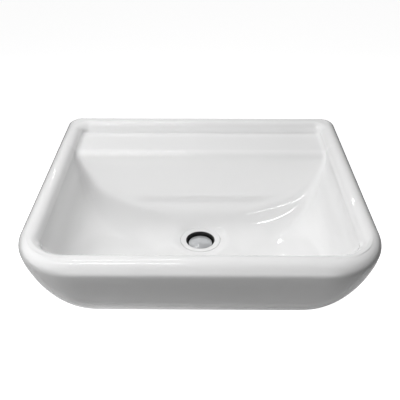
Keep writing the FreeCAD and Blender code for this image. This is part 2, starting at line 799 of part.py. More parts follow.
def make_fixing_bush(side):
    return turned_fixing("fixing_bush", side, [
        ("bush_bore", "-(%s)" % FLANGE_OUT),
        ("bush_flange_radius", "-(%s)" % FLANGE_OUT),
        ("bush_flange_radius", "-china_back"),
        ("bush_radius", "-china_back"),
        ("bush_radius", "bush_length - china_back"),
        ("bush_bore", "bush_length - china_back"),
    ])


def make_fixing_washer(side):
    return turned_fixing("fixing_washer", side, [
        ("bush_bore", "-(%s)" % WASHER_OUT),
        ("washer_radius", "-(%s)" % WASHER_OUT),
        ("washer_radius", "-(%s)" % FLANGE_OUT),
        ("bush_bore", "-(%s)" % FLANGE_OUT),
    ])


def make_fixing_nut(side):
    """A hexagon bored for the bolt, its outer corners turned off in a cone."""
    body = start_body("fixing_nut_" + side)
    corner = "(hex_across_flats / sqrt(3))"
    flat = "(hex_across_flats / 2)"
    hexagon = polygon_sketch(body, "Hexagon", "XY_Plane", [
        (corner, "0"),
        (corner + " / 2", flat),
        ("-%s / 2" % corner, flat),
        ("-" + corner, "0"),
        ("-%s / 2" % corner, "-" + flat),
        (corner + " / 2", "-" + flat),
    ])
    extrude(body, "Prism", hexagon, "hex_height")
    reach = "(%s + overrun)" % corner
    turn(body, "CornerCone", [
        (flat, "0"),
        (reach, "0"),
        (reach, "(%s - %s) / sqrt(3)" % (reach, flat)),
    ], "Groove")
    bore = circle_sketch(body, "BoreOutline", "XY_Plane", "bolt_radius + thread_clearance")
    hole(body, "Bore", bore, "2 * (hex_height + overrun)")
    lay_in_wall(body, side)
    body.setExpression("Placement.Base.y", from_sheet("-(%s + hex_height)" % WASHER_OUT))
    return body


pieces = [
    make_basin_body(),
    make_waste_body(),
    make_flange_seal(),
    make_cone_seal(),
    make_slip_washer(),
    make_back_nut(),
    make_plug_cap(),
    make_plug_seal(),
    make_plug_stem(),
    make_cartridge(),
    make_cartridge_end_cap(),
    make_plug_spring(),
]
for side in SIDES:
    pieces += [
        make_fixing_bolt(side),
        make_wall_plug(side),
        make_fixing_bush(side),
        make_fixing_washer(side),
        make_fixing_nut(side),
    ]

document.recompute()

for thing in document.Objects:
    if "Invalid" in thing.State or "Error" in thing.State:
        raise RuntimeError("%s failed: %s" % (thing.Name, thing.State))
for piece in pieces:
    if piece.Shape.isNull() or not piece.Shape.isValid() or not piece.Shape.Solids:
        raise RuntimeError("%s has no valid solid" % piece.Label)

os.makedirs("parts", exist_ok=True)
for piece in pieces:
    piece.Shape.exportStep(os.path.join("parts", piece.Label + ".step"))
    print("%-22s %8.1f cm3  %d solid" % (piece.Label, piece.Shape.Volume / 1000, len(piece.Shape.Solids)))
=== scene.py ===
import math
import bmesh
import bpy
import numpy as np
from mathutils import Matrix, Vector


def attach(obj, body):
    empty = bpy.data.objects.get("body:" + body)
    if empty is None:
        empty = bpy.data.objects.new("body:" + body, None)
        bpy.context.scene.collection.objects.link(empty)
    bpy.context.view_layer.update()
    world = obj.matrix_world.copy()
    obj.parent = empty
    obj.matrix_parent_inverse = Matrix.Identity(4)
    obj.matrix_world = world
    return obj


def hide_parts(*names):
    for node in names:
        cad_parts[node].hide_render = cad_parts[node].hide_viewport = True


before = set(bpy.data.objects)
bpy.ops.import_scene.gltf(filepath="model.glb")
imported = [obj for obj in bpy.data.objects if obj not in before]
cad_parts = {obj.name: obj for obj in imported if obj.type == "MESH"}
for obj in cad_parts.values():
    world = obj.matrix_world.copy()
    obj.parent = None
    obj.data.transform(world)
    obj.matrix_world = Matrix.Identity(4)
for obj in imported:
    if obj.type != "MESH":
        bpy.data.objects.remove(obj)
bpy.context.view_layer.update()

# Wall-hung china basin.  A smooth glazed skin stands in for the solid of the basin body,
# which is made in bands, and the waste, the plug and the wall fixings get their finishes.
# Tables are in millimetres, the scene is in metres.

mm = 0.001


# Number work

def drawnThrough(rows, samples, softness):
    # each column runs through its rows as a monotone cubic of the distance walked along the
    # table, and a Gaussian as wide as softness (share of the whole) evens out its bends
    rows = np.array(rows, dtype=float)
    tiny = 1e-9  # for a column that never changes
    spans = np.ptp(rows, axis=0).clip(tiny)
    walked = np.linalg.norm(np.diff(rows / spans, axis=0), axis=1)
    place = np.concatenate([[0.0], np.cumsum(walked)]) / walked.sum()
    gap = np.diff(place)[:, None]
    slope = np.diff(rows, axis=0) / gap
    weightBefore, weightAfter = 2 * gap[1:] + gap[:-1], gap[1:] + 2 * gap[:-1]
    steady = slope[:-1] * slope[1:] > 0  # where a column turns back, its tangent is level
    slopeBefore = np.where(steady, slope[:-1], 1.0)
    slopeAfter = np.where(steady, slope[1:], 1.0)
    shared = (weightBefore + weightAfter) / (
        weightBefore / slopeBefore + weightAfter / slopeAfter)
    tangent = np.vstack([slope[:1], np.where(steady, shared, 0.0), slope[-1:]])
    where = np.linspace(0, 1, samples)
    cell = np.clip(np.searchsorted(place, where, side="right") - 1, 0, len(gap) - 1)
    share = ((where - place[cell]) / gap[cell, 0])[:, None]
    columns = (
        rows[cell] * (1 + 2 * share) * (1 - share) ** 2
        + rows[cell + 1] * share ** 2 * (3 - 2 * share)
        + gap[cell] * tangent[cell] * share * (1 - share) ** 2
        - gap[cell] * tangent[cell + 1] * share ** 2 * (1 - share)
    )
    bellWidth = softness * samples
    reach = max(1, int(3 * bellWidth))  # the bell is cut off at three widths
    bell = np.exp(-0.5 * (np.arange(-reach, reach + 1) / bellWidth) ** 2)
    bell /= bell.sum()
    # past each end the table goes on as its own image turned about the end point
    before = 2 * columns[:1] - columns[reach:0:-1]
    after = 2 * columns[-1:] - columns[-2:-reach - 2:-1]
    padded = np.vstack([before, columns, after])
    return np.stack([np.convolve(column, bell, "valid") for column in padded.T], axis=1)


def eased(value, low, high):
    # 0 up to low, 1 from high on, and a smooth step between them
    share = np.clip((value - low) / (high - low), 0, 1)
    return share * share * (3 - 2 * share)


def softLower(a, b, blend):
    # the lower of two heights, rounded where they are within blend of each other
    near = np.clip(1 - np.abs(a - b) / blend, 0, 1)
    return np.minimum(a, b) - near ** 2 * blend / 4


# Glazed skin of the basin

basin = {
    "width": 480.0, "projection": 425.0, "height": 140.0,
    "rimRise": 60.0,  # top of the rim above the origin
    "rimCorner": 84.0, "backCorner": 15.0,  # plan corners of the rim
    "sideRim": 30.0, "frontRim": 37.0,  # breadth of the rim
    "outerRoll": 15.0, "frontRoll": 20.0, "backRoll": 3.0, "innerRoll": 15.0,
    "upstand": 28.5, "upstandRoll": 18.7,  # rim along the wall
    "shelfDrop": 15.0, "shelfReach": 103.0, "shelfCorner": 12.0,
    "shelfRound": 3.0, "shelfFillet": 7.5,
    "bowlDepth": 115.0, "slopeRun": 44.0, "bowlCorner": 38.0,
    "drainReach": 208.6, "dishRadius": 45.0, "dishFall": 3.0,
    "seatRadius": 32.3, "seatDepth": 5.0, "drainHole": 23.5,
    # rings round the edge of the seat: out from its wall, down from its top
    "seatEdge": [(0.5, 0.0), (0.25, 0.12), (0.05, 0.3), (0.0, 0.6)],
    "fixingAcross": 140.0, "fixingHole": 9.0,
    # hull levels: depth share below the roll, half width, front and plan corner as shares
    "hull": [
        (-0.06, 1.000, 1.000, 1.00),
        (0.00, 1.000, 1.000, 1.00),
        (0.18, 0.971, 0.991, 0.93),
        (0.34, 0.925, 0.976, 0.81),
        (0.48, 0.875, 0.958, 0.71),
        (0.63, 0.821, 0.927, 0.60),
        (0.745, 0.783, 0.896, 0.54),
        (0.86, 0.729, 0.861, 0.45),
        (0.94, 0.650, 0.821, 0.39),
        (1.00, 0.575, 0.776, 0.33),
    ],
    # bowl levels: depth share below the shelf, half width, front, run of the back slope,
    # and front and back corner as shares
    "bowl": [
        (-0.15, 1.004, 1.002, -0.25, 1.00, 0.15),
        (0.00, 1.000, 1.000, -0.14, 1.00, 0.20),
        (0.015, 0.999, 0.999, 0.02, 1.04, 0.21),
        (0.06, 0.994, 0.998, 0.17, 1.09, 0.23),
        (0.13, 0.983, 0.994, 0.26, 1.17, 0.29),
        (0.25, 0.957, 0.987, 0.38, 1.30, 0.37),
        (0.45, 0.919, 0.967, 0.585, 1.41, 0.58),
        (0.60, 0.871, 0.946, 0.741, 1.48, 0.86),
        (0.71, 0.814, 0.920, 0.856, 1.53, 1.16),
        (0.81, 0.733, 0.886, 0.968, 1.61, 1.50),
        (0.89, 0.633, 0.845, 1.09, 1.71, 1.74),
        (0.95, 0.510, 0.795, 1.262, 1.71, 1.80),
        (0.985, 0.385, 0.740, 1.515, 1.57, 1.53),
        (1.00, 0.290, 0.680, 1.80, 1.21, 1.15),
        (1.00, 0.200, 0.630, 2.05, 0.97, 0.85),
    ],
}

hullSamples, hullSoftness = 400, 0.02
bowlSamples, bowlSoftness = 700, 0.018
hullLoops = 62
rollSteps = 18  # steps round the rim's outer and its inner roll
topSteps = 4  # steps across the top of the rim
dishSteps, dishCrowding = 24, 0.8  # rings of the dish, closer together towards the seat
arcSteps = 18  # steps along half a corner
acrossSteps, bowlSteps, edgeSteps, shelfSteps = 110, 72, 24, 14
edgeStart, edgeEnd = 0.727, 0.804  # the shelf's rounded edge, as shares of the side's length
acrossShares = np.linspace(0, 1, acrossSteps + 1)[1:-1]
alongShares = np.concatenate([
    np.linspace(0, edgeStart, bowlSteps + 1)[1:-1],
    np.linspace(edgeStart, edgeEnd, edgeSteps + 1)[:-1],
    np.linspace(edgeEnd, 1, shelfSteps + 1)[:-1],
])


def roundedLoop(half, front, back, near, far):
    # each level is a rectangle with round corners, walked from the middle of its front left
    # corner through the front, right, back and left sides; all arguments are one per level
    half, front, back, nearCorner, farCorner = (
        np.asarray(value, dtype=float)[:, None] for value in (half, front, back, near, far))
    turn = np.radians(np.linspace(0, 45, arcSteps + 1))[None, :]

    def arc(x, y, radius, start):
        angle = math.radians(start) + turn
        return np.stack([x + radius * np.cos(angle), y + radius * np.sin(angle)], axis=-1)

    corners = [
        (nearCorner - half, nearCorner - front, nearCorner, 225),
        (half - nearCorner, nearCorner - front, nearCorner, 315),
        (half - farCorner, -back - farCorner, farCorner, 45),
        (farCorner - half, -back - farCorner, farCorner, 135),
    ]
    sideShares = (acrossShares, alongShares, acrossShares, 1 - alongShares[::-1])
    sides = []
    for number, (x, y, radius, start) in enumerate(corners):
        nextX, nextY, nextRadius, nextStart = corners[(number + 1) % 4]
        leaving = arc(x, y, radius, start)
        coming = arc(nextX, nextY, nextRadius, nextStart - 45)
        shares = sideShares[number][None, :, None]
        straight = leaving[:, -1:] * (1 - shares) + coming[:, :1] * shares
        sides.append(np.concatenate([leaving, straight, coming[:, :-1]], axis=1))
    return sides


def outlineDistance(x, y, half, front, back, nearCorner, farCorner):
    # how far a point lies outside a rectangle with round corners, below zero inside
    middle, reach = -(front + back) / 2, (front - back) / 2
    radius = np.where(y < middle, nearCorner, farCorner)
    overX = np.abs(x) - (half - radius)
    overY = np.abs(y - middle) - (reach - radius)
    outside = np.hypot(np.maximum(overX, 0), np.maximum(overY, 0))
    return np.minimum(np.maximum(overX, overY), 0) + outside - radius


bowlLevels = drawnThrough(basin["bowl"], bowlSamples, bowlSoftness)
halvings = 26
# the shelf limits the height from its edge backwards: how far in front of the edge that
# starts and is complete, and how far above the shelf the limit stands before it starts
limitStarts, limitComplete, limitAbove = 22.0, 6.0, 40.0
filletStarts, filletComplete = 8.0, 6.0  # in front of and behind the edge of the shelf
filletShare = 0.9  # of its radius, so that it ends short of upright at the rim
dishBlend = 0.35  # share of the dish's slope over which its edge is rounded


def bowlHeight(x, y):
    # height of the china inside the rim: the level outline that passes through the point is
    # found by halving, the shelf is its soft upper limit, a fillet rises from the shelf to
    # the rim, and the dish is let in round the drain
    b = basin
    half, front = b["width"] / 2 - b["sideRim"], b["projection"] - b["frontRim"]
    shelfTop = b["rimRise"] - b["shelfDrop"]
    low, high = np.zeros_like(x), np.ones_like(x)
    where = np.linspace(0, 1, len(bowlLevels))
    for step in range(halvings):
        middle = (low + high) / 2
        halfShare, frontShare, run, near, far = (
            np.interp(middle, where, column) for column in bowlLevels.T[1:])
        outside = outlineDistance(
            x, y, half * halfShare, front * frontShare, b["shelfReach"] + b["slopeRun"] * run,
            b["bowlCorner"] * near, b["bowlCorner"] * far) > 0
        high = np.where(outside, middle, high)
        low = np.where(outside, low, middle)
    depth = np.interp((low + high) / 2, where, bowlLevels[:, 0])
    bowl = shelfTop - (b["bowlDepth"] - b["shelfDrop"]) * depth
    limited = eased(y, -b["shelfReach"] - limitStarts, -b["shelfReach"] - limitComplete)
    height = softLower(bowl, shelfTop + limitAbove * (1 - limited), b["shelfRound"])
    inside = -outlineDistance(
        x, y, half, front, b["upstand"], b["bowlCorner"], b["shelfCorner"])
    short = np.clip(filletShare * b["shelfFillet"] - inside, 0, None)
    fillet = b["shelfFillet"] - np.sqrt(b["shelfFillet"] ** 2 - short ** 2)
    height = height + fillet * eased(
        y, -b["shelfReach"] - filletStarts, -b["shelfReach"] + filletComplete)
    inDish = (b["dishRadius"] - np.hypot(x, y + b["drainReach"])) / (
        b["dishRadius"] - b["seatRadius"])
    edge = np.clip(inDish + dishBlend, 0, None) ** 2 / (4 * dishBlend)
    return height - b["dishFall"] * np.where(inDish < dishBlend, edge, inDish)


def gridFaces(rows, columns, offset, closed=False):
    # four-sided faces between neighbouring rows of a grid of points
    row, column = np.meshgrid(
        np.arange(rows - 1), np.arange(columns if closed else columns - 1), indexing="ij")
    following = (column + 1) % columns
    corners = [row * columns + column, row * columns + following,
               (row + 1) * columns + following, (row + 1) * columns + column]
    return np.stack(corners, axis=-1) + offset


def blockRing(rows, columns):
    # (row, column) indices round a block of a grid, anticlockwise seen from the grid's front
    (r0, r1), (c0, c1) = rows, columns
    row = np.concatenate([
        np.full(c1 - c0, r0), np.arange(r0, r1), np.full(c1 - c0, r1), np.arange(r1, r0, -1)])
    column = np.concatenate([
        np.arange(c0, c1), np.full(r1 - r0, c1), np.arange(c1, c0, -1), np.full(r1 - r0, c0)])
    return row, column


def outerLevels():
    # loops from the base up the hull, through the smoothed table, and round the outer roll of
    # the rim, a quarter of a circle that is small at the back
    b = basin
    table = drawnThrough(b["hull"], hullSamples, hullSoftness)
    table = table[table[:, 0] >= 0]
    picks = table[np.linspace(0, len(table) - 1, hullLoops).astype(int)][::-1]
    picks[0], picks[-1] = b["hull"][-1], b["hull"][1]
    below = b["height"] - b["outerRoll"]
    hull = dict(
        depth=b["outerRoll"] + below * picks[:, 0], half=b["width"] / 2 * picks[:, 1],
        front=b["projection"] * picks[:, 2], back=np.zeros(len(picks)),
        near=b["rimCorner"] * picks[:, 3], far=np.full(len(picks), b["backCorner"]))
    turn = np.radians(np.linspace(90, 0, rollSteps + 1))[1:]
    inwards, down = 1 - np.sin(turn), 1 - np.cos(turn)
    depth = b["outerRoll"] * down
    behind = b["backRoll"] - np.sqrt(
        b["backRoll"] ** 2 - np.clip(b["backRoll"] - depth, 0, None) ** 2)
    roll = dict(
        depth=depth, half=b["width"] / 2 - b["outerRoll"] * inwards,
        front=b["projection"] - b["frontRoll"] * inwards, back=behind,
        near=b["rimCorner"] - b["outerRoll"] * inwards, far=b["backCorner"] - behind)
    levels = {key: np.concatenate([hull[key], roll[key]]) for key in hull}
    height = (b["rimRise"] - levels.pop("depth"))[:, None, None]
    flat = np.concatenate(roundedLoop(**levels), axis=1)
    return np.concatenate([flat, np.broadcast_to(height, flat.shape[:2] + (1,))], axis=2)


def innerLevels(outerTop):
    # loops from the outer roll over the top of the rim and down its inner roll to the bowl or
    # the shelf; each column of the roll is an arc that stops at the height of the china there
    b = basin
    step = np.array([0.0, 1.0])  # the foot of the roll, and 1 mm outwards from it
    sides = roundedLoop(
        b["width"] / 2 - b["sideRim"] + step, b["projection"] - b["frontRim"] + step,
        b["upstand"] - step, b["bowlCorner"] + step, b["shelfCorner"] + step)
    foot, stepped = np.concatenate(sides, axis=1)
    outwards = stepped - foot
    footHeight = bowlHeight(foot[:, 0], foot[:, 1])
    towardsWall = np.clip(outwards[:, 1], 0, None) ** 2
    radius = b["innerRoll"] + (b["upstandRoll"] - b["innerRoll"]) * towardsWall
    fall = np.clip((b["rimRise"] - footHeight) / radius, 0, 1)
    lastTurn = np.arccos(1 - fall)
    turn = np.linspace(0, 1, rollSteps + 1)[:, None] * lastTurn[None, :]
    spread = (radius * (np.sin(lastTurn) - np.sin(turn)))[..., None]
    roll = np.concatenate([
        foot[None] + outwards[None] * spread,
        (b["rimRise"] - radius * (1 - np.cos(turn)))[..., None]], axis=2)
    roll[-1, :, 2] = footHeight
    share = np.linspace(0, 1, topSteps + 1)[1:-1, None, None]
    top = outerTop[None] * (1 - share) + roll[:1] * share
    return np.concatenate([top, roll], axis=0), [side[0] for side in sides]


def patchInside(edges):
    # points inside four edges: each pair of opposite edges is blended straight across, the
    # two blends are added, and the blend of the four corners is taken off
    front, right, back, left = edges

    def shareAlong(edge, axis):
        return (edge[:, axis] - edge[0, axis]) / np.ptp(edge[:, axis])

    across = (shareAlong(front, 0) + shareAlong(back, 0)) / 2
    along = (shareAlong(left, 1) + shareAlong(right, 1)) / 2
    s, t = across[None, :, None], along[:, None, None]
    return (
        (1 - t) * front[None] + t * back[None] + (1 - s) * left[:, None] + s * right[:, None]
        - (1 - s) * (1 - t) * front[0] - s * (1 - t) * front[-1]
        - (1 - s) * t * back[0] - s * t * back[-1])


hiddenMargins = {
    "base": 0.05, "wallFace": 0.05,  # nearer than this to the base or the wall counts as on it
    "glaze": 4.0, "back": 6.0,  # the space lies at least this far behind the glaze and the back
    "hole": 0.5,  # the wall of a fixing hole lies within its radius and this
    "slopeRun": 0.9,  # run of the slope, past which it has become the bowl's floor
}


def hiddenFaces(solid):
    # the solid's own flat and straight faces that the glaze doesn't reach: the base, the
    # space behind the bowl, and the walls of the fixing holes
    b, margin = basin, hiddenMargins
    mesh = solid.data
    points = np.empty(len(mesh.vertices) * 3)
    mesh.vertices.foreach_get("co", points)
    points = points.reshape(-1, 3) / mm
    mesh.calc_loop_triangles()
    corners = np.empty(len(mesh.loop_triangles) * 3, dtype=np.int64)
    mesh.loop_triangles.foreach_get("vertices", corners)
    corners = corners.reshape(-1, 3)
    x, y, z = points.T
    shelfTop = b["rimRise"] - b["shelfDrop"]
    onBase = z < b["rimRise"] - b["height"] + margin["base"]
    hull, bowl = np.array(b["hull"]), np.array(b["bowl"])
    depth = (b["rimRise"] - z - b["outerRoll"]) / (b["height"] - b["outerRoll"])
    halfHere = b["width"] / 2 * np.interp(depth, hull[:, 0], hull[:, 1])
    share = (shelfTop - z) / (b["bowlDepth"] - b["shelfDrop"])
    run = np.minimum(np.interp(share, bowl[:, 0], bowl[:, 3]), margin["slopeRun"])
    slopeHere = -b["shelfReach"] - b["slopeRun"] * run
    behind = (
        (y > slopeHere + margin["glaze"]) & (z < shelfTop - margin["glaze"])
        & (np.abs(x) < halfHere - margin["glaze"]) & (y < -margin["back"]))
    holes = np.hypot(np.abs(x) - b["fixingAcross"], z) < b["fixingHole"] + margin["hole"]
    keep = onBase[corners].all(1) | (behind | holes)[corners].all(1)
    onWall = np.isclose(y[corners], 0, atol=margin["wallFace"]).all(1)
    return points, corners[keep & ~onWall]


holeBlock = (4.0, 5.0)  # how far past a fixing hole its block of the grid goes, up and across
dishBlock = 4.0  # and past the dish
backFlat = 0.01  # the back face lies within this of the wall


def glazedBasin():
    # one skin: loops up the hull and over the rim, bands from the grid to the two
    # fixing holes, a patch for bowl and shelf, rings down the dish and the seat to the drain
    # hole, and the solid's own faces where nothing is glazed
    b = basin
    outside = outerLevels()
    inwards, inner = innerLevels(outside[-1])
    front, right, back, left = (
        np.vstack([inner[n], inner[(n + 1) % 4][:1]]) for n in range(4))
    flat = patchInside((front, right, back[::-1], left[::-1]))
    height = bowlHeight(flat[..., 0], flat[..., 1])
    inside = np.concatenate([flat, height[..., None]], axis=2)

    loops = np.concatenate([outside, inwards], axis=0)
    rows, columns = loops.shape[:2]
    points, faces = [loops.reshape(-1, 3)], []
    ring = gridFaces(rows, columns, 0, closed=True)
    offset = rows * columns

    # two holes for the fixings in the back wall
    kept = np.ones(ring.shape[:2], dtype=bool)
    radius = b["fixingHole"]
    level = np.where(np.abs(outside[:, 0, 2]) < radius + holeBlock[0])[0]
    x, y = loops[level[0], :, 0], loops[level[0], :, 1]
    for side in (-1, 1):
        centre = side * b["fixingAcross"]
        near = np.where((y > -backFlat) & (np.abs(x - centre) < radius + holeBlock[1]))[0]
        kept[level[0]:level[-1], near[0]:near[-1]] = False
        edge = loops[blockRing((level[0], level[-1]), (near[0], near[-1]))]
        angle = np.arctan2(edge[:, 2], edge[:, 0] - centre)
        hole = np.stack([
            centre + radius * np.cos(angle), np.zeros_like(angle), radius * np.sin(angle)],
            axis=1)
        band = np.stack([edge, (edge + hole) / 2, hole])
        points.append(band.reshape(-1, 3))
        faces.append(gridFaces(len(band), len(edge), offset, closed=True).reshape(-1, 4))
        offset += len(band) * len(edge)
    faces.append(ring[kept])

    # bowl and shelf, with a round opening for the waste
    rows, columns = inside.shape[:2]
    points.append(inside.reshape(-1, 3))
    cells = gridFaces(rows, columns, offset)
    kept = np.ones(cells.shape[:2], dtype=bool)
    offset += rows * columns
    reach = b["dishRadius"] + dishBlock
    row = np.where(np.abs(inside[:, columns // 2, 1] + b["drainReach"]) < reach)[0]
    column = np.where(np.abs(inside[rows // 2, :, 0]) < reach)[0]
    kept[row[0]:row[-1], column[0]:column[-1]] = False
    faces.append(cells[kept])

    # rings from that opening's square edge down the dish, the seat and the drain hole
    edge = inside[blockRing((row[0], row[-1]), (column[0], column[-1]))]
    angle = np.arctan2(edge[:, 1] + b["drainReach"], edge[:, 0])
    circle = np.stack([np.cos(angle), np.sin(angle)], axis=1)
    drain = np.array([0, -b["drainReach"]])
    lip = circle * (b["seatRadius"] + b["seatEdge"][0][0]) + drain
    share = np.linspace(0, 1, dishSteps + 1)[:, None, None] ** dishCrowding
    spread = edge[None, :, :2] * (1 - share) + lip[None] * share
    dish = np.concatenate(
        [spread, bowlHeight(spread[..., 0], spread[..., 1])[..., None]], axis=2)
    seatTop = b["rimRise"] - b["bowlDepth"] - b["dishFall"]
    seatFoot = seatTop - b["seatDepth"]
    rings = [(b["seatRadius"] + out, seatTop - down) for out, down in b["seatEdge"][1:]]
    rings += [(b["seatRadius"], seatFoot), (b["drainHole"], seatFoot),
              (b["drainHole"], b["rimRise"] - b["height"])]
    collar = np.array([
        np.column_stack([circle * radius + drain, np.full(len(circle), height)])
        for radius, height in rings])
    patch = np.concatenate([dish, collar], axis=0)
    points.append(patch.reshape(-1, 3))
    faces.append(gridFaces(len(patch), len(edge), offset, closed=True).reshape(-1, 4))
    offset += len(patch) * len(edge)

    hiddenPoints, hidden = hiddenFaces(bpy.data.objects["basin_body"])
    points.append(hiddenPoints)
    polygons = np.concatenate(faces).tolist() + (hidden + offset).tolist()
    piece = meshPiece("glazedBasin", np.concatenate(points) * mm, polygons)
    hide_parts("basin_body")
    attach(piece, "basin")
    return piece


mergeDistance = 0.02  # mm
sharpAngle = 34  # degrees between faces, from which an edge is shaded sharp


def meshPiece(name, points, polygons):
    # a mesh of the points and faces, merged where parts meet, without points that no face uses
    mesh = bpy.data.meshes.new(name)
    mesh.from_pydata(points.tolist(), [], polygons)
    work = bmesh.new()
    work.from_mesh(mesh)
    bmesh.ops.remove_doubles(work, verts=work.verts, dist=mergeDistance * mm)
    loose = [vert for vert in work.verts if not vert.link_faces]
    bmesh.ops.delete(work, geom=loose, context="VERTS")
    work.to_mesh(mesh)
    work.free()
    mesh.shade_smooth()
    mesh.set_sharp_from_angle(angle=math.radians(sharpAngle))
    piece = bpy.data.objects.new(name, mesh)
    bpy.context.collection.objects.link(piece)
    print("made", name, len(mesh.polygons), "faces")
    return piece


# Finishes

mixFirst, mixSecond, mixResult = 6, 7, 2  # a colour Mix node's two colours and its result


def linear(code):
    # sRGB hex to linear, by the standard's own curve
    parts = [int(code[i:i + 2], 16) / 255 for i in (1, 3, 5)]
    return [p / 12.92 if p <= 0.04045 else ((p + 0.055) / 1.055) ** 2.4 for p in parts] + [1.0]


def addNode(tree, kind, links=(), values=None, **settings):
    # a node with its settings, links given as (input, other node, output), and values for
    # the inputs that have to be given by number
    node = tree.nodes.new(kind)
    for name, value in settings.items():
        if name in node.inputs:
            node.inputs[name].default_value = value
        else:
            setattr(node, name, value)
    for number, value in (values or {}).items():
        node.inputs[number].default_value = value
    for name, other, output in links:
        tree.links.new(other.outputs[output], node.inputs[name])
    return node


def startMaterial(name):
    # an empty material with a shader, its output and the object's own coordinates
    material = bpy.data.materials.new(name)
    material.use_nodes = True
    tree = material.node_tree
    tree.nodes.clear()
    shader = addNode(tree, "ShaderNodeBsdfPrincipled")
    addNode(tree, "ShaderNodeOutputMaterial", [("Surface", shader, "BSDF")])
    place = addNode(tree, "ShaderNodeTexCoord")
    return material, tree, shader, place


china = {
    "glaze": "#DEDEDE", "glazeDeep": "#DBDBDB", "bisque": "#DAD3C6",
    "roughness": 0.035, "coat": 1.0, "coatRoughness": 0.02, "ior": 1.5, "bareRoughness": 0.75,
    "ripple": 11.0, "cloud": 111.11, "grit": 1.1111,  # mm
    "relief": 0.4, "reliefStrength": 0.05, "gritShare": 0.25,  # relief in mm
    # places on Y in mm: bare clay from the first to the wall, glaze in front of the second
    "bareFrom": -0.4, "glazedTo": -1.2,
}


def glazedChinaMaterial():
    # vitreous china, slip-cast, spray-glazed and fired: clear gloss over white, faint waviness
    # where the glaze flowed, bare fired clay on the face that goes against the wall
    c = china
    material, tree, shader, place = startMaterial("glazedVitreousChina")
    flow = addNode(tree, "ShaderNodeTexNoise", [("Vector", place, "Object")],
                   Scale=1000 / c["ripple"], Detail=1.0)
    cloud = addNode(tree, "ShaderNodeTexNoise", [("Vector", place, "Object")],
                    Scale=1000 / c["cloud"], Detail=2.0)
    grit = addNode(tree, "ShaderNodeTexNoise", [("Vector", place, "Object")],
                   Scale=1000 / c["grit"], Detail=3.0)
    axes = addNode(tree, "ShaderNodeSeparateXYZ", [("Vector", place, "Object")])
    bare = addNode(tree, "ShaderNodeMapRange", [("Value", axes, "Y")],
                   **{"From Min": c["glazedTo"] * mm, "From Max": c["bareFrom"] * mm})
    tint = addNode(tree, "ShaderNodeMix", [("Factor", cloud, "Fac")],
                   {mixFirst: linear(c["glaze"]), mixSecond: linear(c["glazeDeep"])},
                   data_type="RGBA")
    colour = addNode(tree, "ShaderNodeMix",
                     [("Factor", bare, "Result"), (mixFirst, tint, mixResult)],
                     {mixSecond: linear(c["bisque"])}, data_type="RGBA")
    tree.links.new(colour.outputs[mixResult], shader.inputs["Base Color"])
    dull = addNode(tree, "ShaderNodeMapRange", [("Value", bare, "Result")],
                   **{"To Min": c["roughness"], "To Max": c["bareRoughness"]})
    tree.links.new(dull.outputs["Result"], shader.inputs["Roughness"])
    clear = addNode(tree, "ShaderNodeMapRange", [("Value", bare, "Result")],
                    **{"To Min": c["coat"], "To Max": 0.0})
    tree.links.new(clear.outputs["Result"], shader.inputs["Coat Weight"])
    shader.inputs["Coat Roughness"].default_value = c["coatRoughness"]
    shader.inputs["IOR"].default_value = c["ior"]
    bareGrit = addNode(tree, "ShaderNodeMath", [(0, bare, "Result"), (1, grit, "Fac")],
                       operation="MULTIPLY")
    lowGrit = addNode(tree, "ShaderNodeMath", [(0, bareGrit, "Value")], {1: c["gritShare"]},
                      operation="MULTIPLY")
    relief = addNode(tree, "ShaderNodeMath", [(0, lowGrit, "Value"), (1, flow, "Fac")],
                     operation="ADD")
    bump = addNode(tree, "ShaderNodeBump", [("Height", relief, "Value")],
                   Strength=c["reliefStrength"], Distance=c["relief"] * mm)
    tree.links.new(bump.outputs["Normal"], shader.inputs["Normal"])
    tree.links.new(bump.outputs["Normal"], shader.inputs["Coat Normal"])
    return material


# colour, gloss, and the size of the grain and its depth in mm
finishes = {
    # injection-moulded polypropylene: soft gloss, slightly warm white
    "polypropyleneWhite": dict(
        colour="#EDEDEB", roughness=0.32, metallic=0.0, grain=0.6, depth=0.02),
    # injection-moulded nylon: satin grey with a fine sparkle of the mould
    "nylonGrey": dict(colour="#8E9092", roughness=0.5, metallic=0.0, grain=0.5, depth=0.05),
    # stamped polythene sheet without pigment: milky, waxy
    "polytheneNatural": dict(
        colour="#D9D9D4", roughness=0.45, metallic=0.0, grain=0.5, depth=0.03),
    # moulded rubber: dull, no clear highlight
    "rubberGrey": dict(colour="#5A5A5A", roughness=0.75, metallic=0.0, grain=0.4, depth=0.06),
    "rubberBlack": dict(colour="#1C1C1C", roughness=0.7, metallic=0.0, grain=0.4, depth=0.06),
    # moulded cap with a thin bright plating: pale, half mirror, half sheen
    "platedPlug": dict(colour="#D2D4D6", roughness=0.16, metallic=0.5, grain=1.0, depth=0.004),
    # turned and drawn stainless steel: grey metal with a broad highlight
    "stainlessTurned": dict(
        colour="#B9BBBD", roughness=0.28, metallic=1.0, grain=0.25, depth=0.03),
    # zinc-plated steel: cool grey, cloudy
    "zincPlated": dict(colour="#BFC4C8", roughness=0.36, metallic=1.0, grain=0.7, depth=0.04),
}

unevenness = {
    "cloud": 16.667,  # mm across one cloud
    "darkest": 0.94,  # share of the colour
    "glossiest": 0.85, "dullest": 1.2,  # shares of the roughness
    "reliefStrength": 0.4,
}


